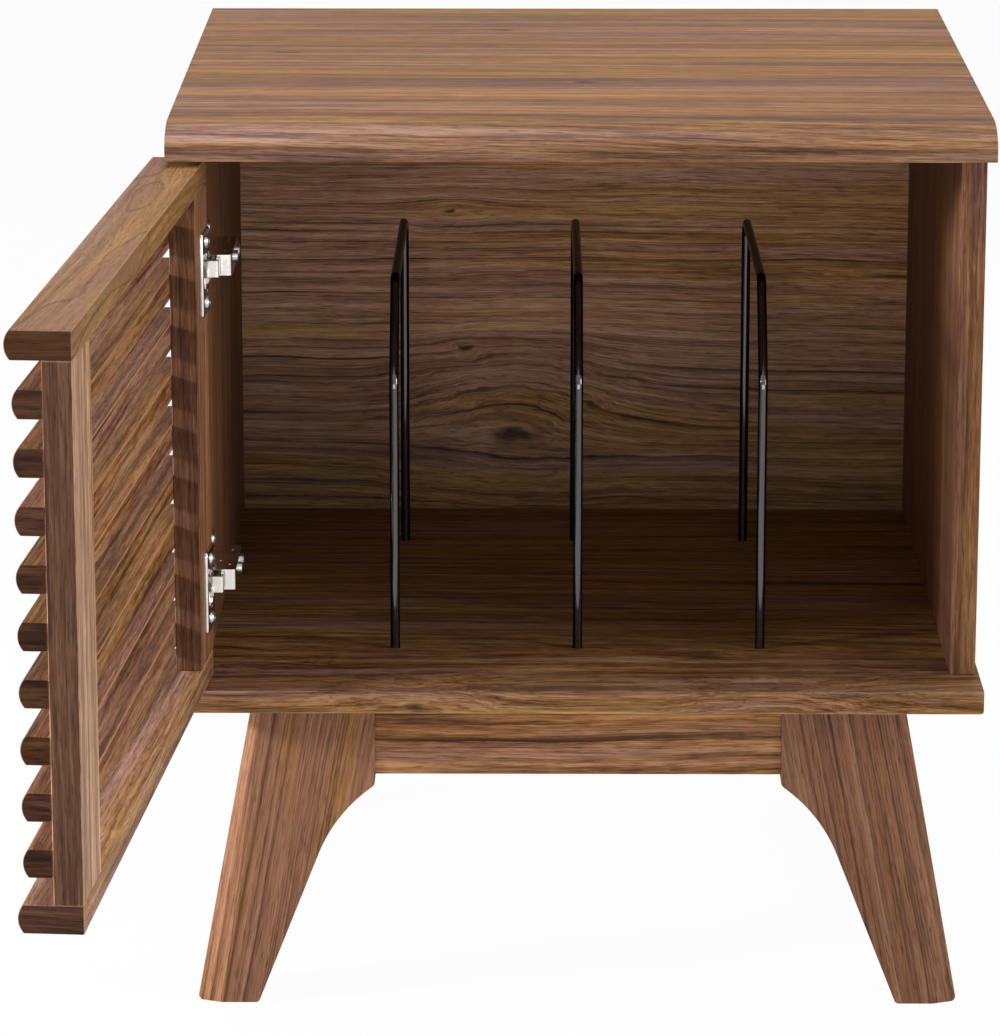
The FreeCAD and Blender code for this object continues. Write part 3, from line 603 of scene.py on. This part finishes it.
# Legs and their frame
# Each leg's bevel is painted lighter as a highlight, most on the front left leg
LEG_BEVEL_PAINTED_LIGHT = {
    "leg_front_left": 1.5, "leg_front_right": 1.1, "leg_rear_left": 1.15, "leg_rear_right": 1.15,
}
for across_word, sign in (("left", -1), ("right", 1)):
    for depth_word, outer, seed in (("front", -1, 21.0), ("rear", 1, 24.0)):
        name = "leg_" + depth_word + "_" + across_word
        lean = Vector((sign * math.sin(LEG_LEAN), 0, -math.cos(LEG_LEAN)))
        bevel_way = Vector((sign * math.sin(LEG_BEVEL), outer * math.cos(LEG_BEVEL), 0))
        dress_walnut(name, lean, ALONG_Y, seed + sign, Lines=0.85, Fine_lines=0.5, Wander=0.01,
                     Tilt=0.0, Gold=0.05, Pitch=0.006, Smear=0.15, Contrast=0.45,
                     tone=(0.79, 0.77, 0.71), pale_side=(bevel_way, LEG_BEVEL_PAINTED_LIGHT[name]))
dress_walnut("front_apron", ALONG_X, ALONG_Y, 31.0, Gold=0.6, Lines=0.9, Contrast=1.2,
             tone=(0.91, 0.86, 0.79))
dress_walnut("rear_apron", ALONG_X, ALONG_Y, 32.0)
for side, seed in (("left", 33.0), ("right", 34.0)):
    dress_walnut(side + "_side_apron", ALONG_Y, ALONG_X, seed)

# Door: a bar's rim is half its height, half its thickness and how bright the painted highlights on
# its edges are
RAIL_EDGE_HIGHLIGHT = (0.0178, 0.008, 0.45)
SLAT_EDGE_HIGHLIGHT = (0.008, 0.008, 0.85)
SLAT_FIRST_SEED = 50.0
SLAT_SEED_STEP = 1.7
SLAT_GOLD = (0.5, 0.2, 0.75, 0.3, 0.6, 0.85, 0.15, 0.7, 0.35)
SLAT_SHADE = (1.0, 1.02, 0.96, 0.82, 1.0, 0.92, 1.0, 0.9, 1.0)
SLAT_TONE = (0.9, 0.83, 0.8)
RAIL_BUMP = 0.12
dress_walnut("door_top_rail", DOOR_ALONG, ALONG_Z, 41.0, Lines=0.15, Fine_lines=0.1,
             Wander=0.03, Gold=0.75, Smear=0.1, Swirl=1.0, Contrast=0.6, tone=(0.9, 0.95, 0.96),
             rim=RAIL_EDGE_HIGHLIGHT, bump=RAIL_BUMP)
dress_walnut("door_bottom_rail", DOOR_ALONG, ALONG_Z, 43.0, Gold=0.45, tone=(1.08, 1.15, 1.3),
             rim=RAIL_EDGE_HIGHLIGHT)
# On the hinge stile the darker edges are painted shade. The free stile's raised, cooler tone is a
# painted sheen on its faces, and its edges are darkened back
for name, seed, tone, share in (("door_hinge_stile", 45.0, (0.93, 0.89, 0.8), 0.78),
                                ("door_free_stile", 47.0, (1.52, 1.78, 1.85), 0.99)):
    dress_walnut(name, ALONG_Z, DOOR_FACE, seed, Lines=0.4, Wander=0.008, Fine_lines=0.3,
                 Gold=0.1, Side=0.2, Smear=0.2, tone=tone, dark_side=DOOR_ALONG, dark_share=share)
slat_names = sorted(name for name in nodes if name.startswith("door_slat_"))
for number, (name, gold, shade) in enumerate(zip(slat_names, SLAT_GOLD, SLAT_SHADE)):
    seed = SLAT_FIRST_SEED + number * SLAT_SEED_STEP
    dress_walnut(name, DOOR_ALONG, DOOR_FACE, seed, Wander=0.006, Tilt=0.0, Lines=0.7, Gold=gold,
                 Smear=1.0, Side=0.1, Contrast=1.45, rim=SLAT_EDGE_HIGHLIGHT,
                 tone=tuple(value * shade for value in SLAT_TONE))

# Metals, paint and the hidden parts
NICKEL_COLOUR = from_screen(235, 231, 224)
STEEL_COLOUR = from_screen(196, 196, 198)
PAINT_COLOUR = from_screen(12, 12, 15)
PLASTIC_COLOUR = from_screen(52, 44, 38)
PLASTIC_BUMP = 0.1
CLOUDINESS = {"stretch": (90.0, 90.0, 90.0), "detail": 3.0}
SCRATCHES = {"stretch": (600.0, 2500.0, 600.0), "detail": 2.0}
CLOUD_SHARE = 0.7
SCRATCH_SHARE = 0.3
CLOUD_LIMITS = (0.3, 0.7)
DULLEST_SHADE = 0.88
COATING_BUMP = 0.04
COATING_RELIEF = 0.0002
UNDERCOAT_IOR = 1.05
LACQUER_IOR = 1.9
LACQUER_ROUGHNESS = 0.08
LACQUER_FADE = (0.1, 0.35)


def make_polish():
    """Faint polish marks and cloudiness of a plated or painted surface."""
    group, given, out = new_group(
        "surface_polish",
        [("Vector", "Vector", None), ("Low", "Float", 0.12), ("High", "Float", 0.3)],
        [("Roughness", "Float"), ("Shade", "Float"), ("Height", "Float")])
    cloud = noise(group, given["Vector"], **CLOUDINESS)
    scratch = noise(group, given["Vector"], **SCRATCHES)
    both = add(group, times(group, cloud, CLOUD_SHARE), times(group, scratch, SCRATCH_SHARE))
    low, high = CLOUD_LIMITS
    inputs = {0: both, 1: low, 2: high, 3: given["Low"], 4: given["High"]}
    feed(group, out["Roughness"], shader_node(group, "MapRange", inputs).outputs[0])
    feed(group, out["Shade"], span(group, cloud, low, high, DULLEST_SHADE, 1.0))
    feed(group, out["Height"], scratch)
    return group


polish_group = make_polish()


def coated(name, colour, metallic, low, high, bump=COATING_BUMP, lacquered=False):
    """A plated, painted or moulded finish. Lacquer gleams where it faces the eye."""
    material, tree, shader = new_material(name)
    place = shader_node(tree, "TexCoord").outputs["Object"]
    polish = placed_group(tree, polish_group, Vector=place, Low=low, High=high)
    shade = mix_colours(tree, polish.outputs["Shade"], (0, 0, 0, 1), colour)
    feed(tree, shader.inputs["Base Color"], shade)
    feed(tree, shader.inputs["Roughness"], polish.outputs["Roughness"])
    shader.inputs["Metallic"].default_value = metallic
    raise_surface(tree, shader, bump, COATING_RELIEF, polish.outputs["Height"])
    if lacquered:
        shader.inputs["IOR"].default_value = UNDERCOAT_IOR
        turned_away = shader_node(tree, "LayerWeight", {"Blend": 0.5}).outputs["Facing"]
        feed(tree, shader.inputs["Coat Weight"], span(tree, turned_away, *LACQUER_FADE, 1.0, 0.0))
        shader.inputs["Coat IOR"].default_value = LACQUER_IOR
        shader.inputs["Coat Roughness"].default_value = LACQUER_ROUGHNESS
    return material


PALE_WOOD = wood_run((172, 134, 92), (206, 170, 126), (222, 190, 148), middle_place=0.6)
PALE_WOOD_SEED = 61.0
PALE_WOOD_ROUGHNESS = 0.6


def make_block_wood():
    """Plain pale wood of the hidden blocks and dowels."""
    material, tree, shader = new_material("block_wood")
    place = piece_place(tree, ALONG_Z, ALONG_Y)
    grain = placed_group(tree, walnut_group, Vector=place, Seed=PALE_WOOD_SEED)
    feed(tree, shader.inputs["Base Color"], colour_run(tree, grain.outputs["Figure"], PALE_WOOD))
    shader.inputs["Roughness"].default_value = PALE_WOOD_ROUGHNESS
    return material


nickel = coated("bright_nickel", NICKEL_COLOUR, metallic=1.0, low=0.1, high=0.22)
steel = coated("zinc_steel", STEEL_COLOUR, metallic=1.0, low=0.22, high=0.4)
black_paint = coated("black_wire_paint", PAINT_COLOUR, metallic=0.0, low=0.06, high=0.12,
                     lacquered=True)
glide_plastic = coated("glide_plastic", PLASTIC_COLOUR, metallic=0.0, low=0.5, high=0.7,
                       bump=PLASTIC_BUMP)
block_wood = make_block_wood()
for name in nodes:
    if name.endswith("_screws"):
        dress(name, steel)
    elif name.startswith("corner_block_") or name.endswith("_dowels"):
        dress(name, block_wood)
    elif name.startswith("hinge_"):
        dress(name, nickel)
    elif name.startswith("record_divider_"):
        dress(name, black_paint)
dress("foot_glides", glide_plastic)

# Hinges: rounded flanges with cups, screw heads and bosses. Profiles are radius and height.
HINGE_HEIGHTS = {"upper": 0.4753, "lower": 0.2763}
DOOR_PIVOT = Vector((-0.2367, -0.2093, 0.0))
CUP_FROM_PIVOT = 0.0078
BACK_FROM_PIVOT = 0.0088
FLANGE_HALF_WIDTH = 0.0147
FLANGE_HALF_HEIGHT = 0.026
FLANGE_THICKNESS = 0.0019
FLANGE_CORNER = 0.003
FLANGE_CORNER_STEPS = 6
FLANGE_ROUND = 0.0009
FLANGE_ROUND_STEPS = 4
RING_SEAT = 0.0133
CUP_PROFILE = (
    (0.0, -0.012), (0.01295, -0.012), (0.01295, 0.0), (0.0145, 0.0), (0.0145, 0.0012),
    (0.01425, 0.0018), (0.0137, 0.0021), (0.0131, 0.0021), (0.0125, 0.0018), (0.0122, 0.0012),
    (0.0122, -0.0108), (0.0118, -0.0112), (0.0, -0.0112),
)
HEAD_PROFILE = (
    (0.0, 0.0005), (0.0012, 0.0006), (0.0014, 0.0018), (0.0021, 0.002), (0.0029, 0.0017),
    (0.0036, 0.0011), (0.0041, 0.0003), (0.0042, -0.0004), (0.0, -0.0004),
)
BOSS_PROFILE = (
    (0.0, 0.0006), (0.0007, 0.0005), (0.0012, 0.0002), (0.0014, -0.0002), (0.0, -0.0002),
)
CUP_STEPS = 48
HEAD_STEPS = 24
BOSS_STEPS = 16
CUP_SCREW_HALF_SPACING = 0.019
PLATE_SCREW_HALF_SPACING = 0.016
PLATE_SCREW_PLACE = Vector((-0.2295, -0.1595, 0.0))
ARM_HALF_HEIGHT = 0.0064
BOSS_PLACES = ((-0.2175, -0.185), (-0.2235, -0.176), (-0.2175, -0.15))
ENDS = (-1, 1)
SQUARE_EDGE = 1.0
SMOOTH_BELOW = math.radians(38)
MERGE_DISTANCE = 0.00001


def frame_at(place, first, second, third):
    """A matrix from a part's own axes to the object's frame."""
    turned = Matrix((first, second, third)).transposed().to_4x4()
    return Matrix.Translation(place) @ turned


def turned_part(profile, matrix, steps):
    """A part turned from a profile. It stands along the matrix's Y."""
    part = bmesh.new()
    points = [part.verts.new((radius, height, 0)) for radius, height in profile]
    edges = [part.edges.new(pair) for pair in zip(points, points[1:])]
    bmesh.ops.spin(part, geom=points + edges, cent=(0, 0, 0), axis=(0, 1, 0), angle=math.tau,
                   steps=steps, use_merge=True)
    bmesh.ops.remove_doubles(part, verts=part.verts, dist=MERGE_DISTANCE)
    bmesh.ops.transform(part, matrix=matrix, verts=part.verts)
    return part


def flange_plate(matrix):
    """The flange's plate: rounded corners, a hole for the cup and a rounded upper rim."""
    part = bmesh.new()
    bmesh.ops.create_circle(part, segments=CUP_STEPS, radius=RING_SEAT)
    corners = bmesh.ops.create_grid(part, x_segments=1, y_segments=1, size=1.0)["verts"]
    bmesh.ops.scale(part, verts=corners, vec=(FLANGE_HALF_WIDTH, FLANGE_HALF_HEIGHT, 1.0))
    bmesh.ops.bevel(part, geom=corners, offset=FLANGE_CORNER, offset_type="OFFSET",
                    segments=FLANGE_CORNER_STEPS, profile=0.5, affect="VERTICES", material=-1)
    bmesh.ops.delete(part, geom=list(part.faces), context="FACES_ONLY")
    ring = bmesh.ops.bridge_loops(part, edges=list(part.edges))["faces"]
    made = bmesh.ops.extrude_face_region(part, geom=ring)["geom"]
    upper = [item for item in made if isinstance(item, bmesh.types.BMVert)]
    bmesh.ops.translate(part, verts=upper, vec=(0, 0, FLANGE_THICKNESS))
    bmesh.ops.recalc_face_normals(part, faces=part.faces)
    rim = [item for item in made if isinstance(item, bmesh.types.BMEdge)
           and item.calc_face_angle(0.0) > SQUARE_EDGE
           and all(point.co.xy.length > RING_SEAT + MERGE_DISTANCE for point in item.verts)]
    bmesh.ops.bevel(part, geom=rim, offset=FLANGE_ROUND, offset_type="OFFSET",
                    segments=FLANGE_ROUND_STEPS, profile=0.5, affect="EDGES", material=-1)
    bmesh.ops.transform(part, matrix=matrix, verts=part.verts)
    return part


def finished(parts, name, body, material, replaced=()):
    """Joins parts into one smooth-shaded object that rides on a body."""
    shape = bmesh.new()
    for part in parts:
        mesh = bpy.data.meshes.new(name)
        part.to_mesh(mesh)
        part.free()
        shape.from_mesh(mesh)
        bpy.data.meshes.remove(mesh)
    bmesh.ops.recalc_face_normals(shape, faces=shape.faces)
    mesh = bpy.data.meshes.new(name)
    shape.to_mesh(mesh)
    shape.free()
    for face in mesh.polygons:
        face.use_smooth = True
    mesh.set_sharp_from_angle(angle=SMOOTH_BELOW)
    mesh.materials.append(material)
    made = bpy.data.objects.new(name, mesh)
    scene.collection.objects.link(made)
    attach(made, body)
    if replaced:
        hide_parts(*replaced)


for level, height in HINGE_HEIGHTS.items():
    rise = ALONG_Z * height
    cup_place = DOOR_PIVOT + DOOR_ALONG * CUP_FROM_PIVOT + DOOR_FACE * BACK_FROM_PIVOT + rise
    cup_frame = frame_at(cup_place, DOOR_ALONG, DOOR_FACE, ALONG_Z)
    flange_frame = frame_at(cup_place, DOOR_ALONG * -1, ALONG_Z, DOOR_FACE)
    parts = [turned_part(CUP_PROFILE, cup_frame, CUP_STEPS), flange_plate(flange_frame)]
    finished(parts, "cup_with_flange_" + level, "door", nickel,
             ["hinge_cup_" + level])

    parts = []
    for end in ENDS:
        place = Matrix.Translation((0, FLANGE_THICKNESS, CUP_SCREW_HALF_SPACING * end))
        parts.append(turned_part(HEAD_PROFILE, cup_frame @ place, HEAD_STEPS))
    finished(parts, "flange_screw_heads_" + level, "door", steel)

    parts = []
    for end in ENDS:
        place = PLATE_SCREW_PLACE + ALONG_Z * (height + PLATE_SCREW_HALF_SPACING * end)
        head_frame = frame_at(place, ALONG_Y * -1, ALONG_X, ALONG_Z)
        parts.append(turned_part(HEAD_PROFILE, head_frame, HEAD_STEPS))
    finished(parts, "plate_screw_heads_" + level, "cabinet", steel)

    parts = []
    for x, y in BOSS_PLACES:
        for end in ENDS:
            place = Vector((x, y, height + ARM_HALF_HEIGHT * end))
            boss_frame = frame_at(place, ALONG_X * end, ALONG_Z * end, ALONG_Y * -1)
            parts.append(turned_part(BOSS_PROFILE, boss_frame, BOSS_STEPS))
    finished(parts, "arm_bosses_" + level, "cabinet", nickel)

# Studio
FLOOR_HALF = 30.0
FLOOR_COLOUR = (0.9, 0.9, 0.9, 1.0)
FLOOR_ROUGHNESS = 0.8
CAMERA_WHITE_SHARE = 0.965
WORLD_LIGHT = 0.06
WHITE = (1, 1, 1, 1)


def seen_share(tree):
    """1 for rays that show the background: from the camera, a gloss or a glass."""
    paths = shader_node(tree, "LightPath").outputs
    seen = calc(tree, "MAXIMUM", paths["Is Camera Ray"], paths["Is Glossy Ray"])
    return calc(tree, "MAXIMUM", seen, paths["Is Transmission Ray"])


def make_floor():
    """A plain pale floor that keeps the object's shadow."""
    shape = bmesh.new()
    bmesh.ops.create_grid(shape, x_segments=1, y_segments=1, size=FLOOR_HALF)
    mesh = bpy.data.meshes.new("studio_floor")
    shape.to_mesh(mesh)
    shape.free()
    floor = bpy.data.objects.new("studio_floor", mesh)
    scene.collection.objects.link(floor)
    material, tree, shader = new_material("floor_white")
    shader.inputs["Base Color"].default_value = FLOOR_COLOUR
    shader.inputs["Roughness"].default_value = FLOOR_ROUGHNESS
    shader.inputs["Specular IOR Level"].default_value = 0.0
    glow = shader_node(tree, "Emission", {"Color": WHITE, "Strength": 1.0}).outputs[0]
    white_share = times(tree, seen_share(tree), CAMERA_WHITE_SHARE)
    both = shader_node(tree, "MixShader", {0: white_share, 1: shader.outputs[0], 2: glow})
    feed(tree, tree.nodes["Material Output"].inputs["Surface"], both.outputs[0])
    mesh.materials.append(material)


def make_world():
    """White all round, at full strength only where it is seen."""
    world = bpy.data.worlds.new("studio_white")
    world.use_nodes = True
    scene.world = world
    tree = world.node_tree
    background = tree.nodes["Background"]
    background.inputs["Color"].default_value = WHITE
    extra = times(tree, seen_share(tree), 1.0 - WORLD_LIGHT)
    feed(tree, background.inputs["Strength"], add(tree, extra, WORLD_LIGHT))


def soft_lamp(name, place, aim, width, height, power):
    """A soft box that faces a point."""
    light = bpy.data.lights.new(name, "AREA")
    light.shape = "RECTANGLE"
    light.size = width
    light.size_y = height
    light.energy = power
    lamp = bpy.data.objects.new(name, light)
    lamp.location = place
    lamp.rotation_euler = (Vector(aim) - Vector(place)).to_track_quat("-Z", "Y").to_euler()
    scene.collection.objects.link(lamp)


def make_camera():
    """The camera at the picture's viewing point."""
    lens = bpy.data.cameras.new("studio_camera")
    lens.lens = CAMERA_LENS
    lens.sensor_width = SENSOR_SIZE
    lens.clip_end = CAMERA_REACH
    camera = bpy.data.objects.new("studio_camera", lens)
    camera.location = CAMERA_PLACE
    camera.rotation_euler = CAMERA_TURN
    scene.collection.objects.link(camera)
    scene.camera = camera


# Each lamp's place, the point it faces, its width, height and power
LAMPS = (
    ("top_soft_box", (0.0, 0.1, 2.6), (0.0, 0.1, 0.4), 2.2, 1.8, 42.0),
    ("left_soft_box", (-2.0, -0.87, 0.93), (0.0, -0.2, 0.4), 0.3, 0.25, 54.0),
    ("right_soft_box", (2.1, -1.0, 0.93), (0.0, -0.2, 0.4), 0.8, 0.8, 22.0),
    ("front_soft_box", (0.3, -3.6, 0.45), (0.0, 0.0, 0.35), 4.0, 0.9, 43.0),
)
make_floor()
make_world()
for lamp_values in LAMPS:
    soft_lamp(*lamp_values)
make_camera()
scene.view_settings.view_transform = "Standard"
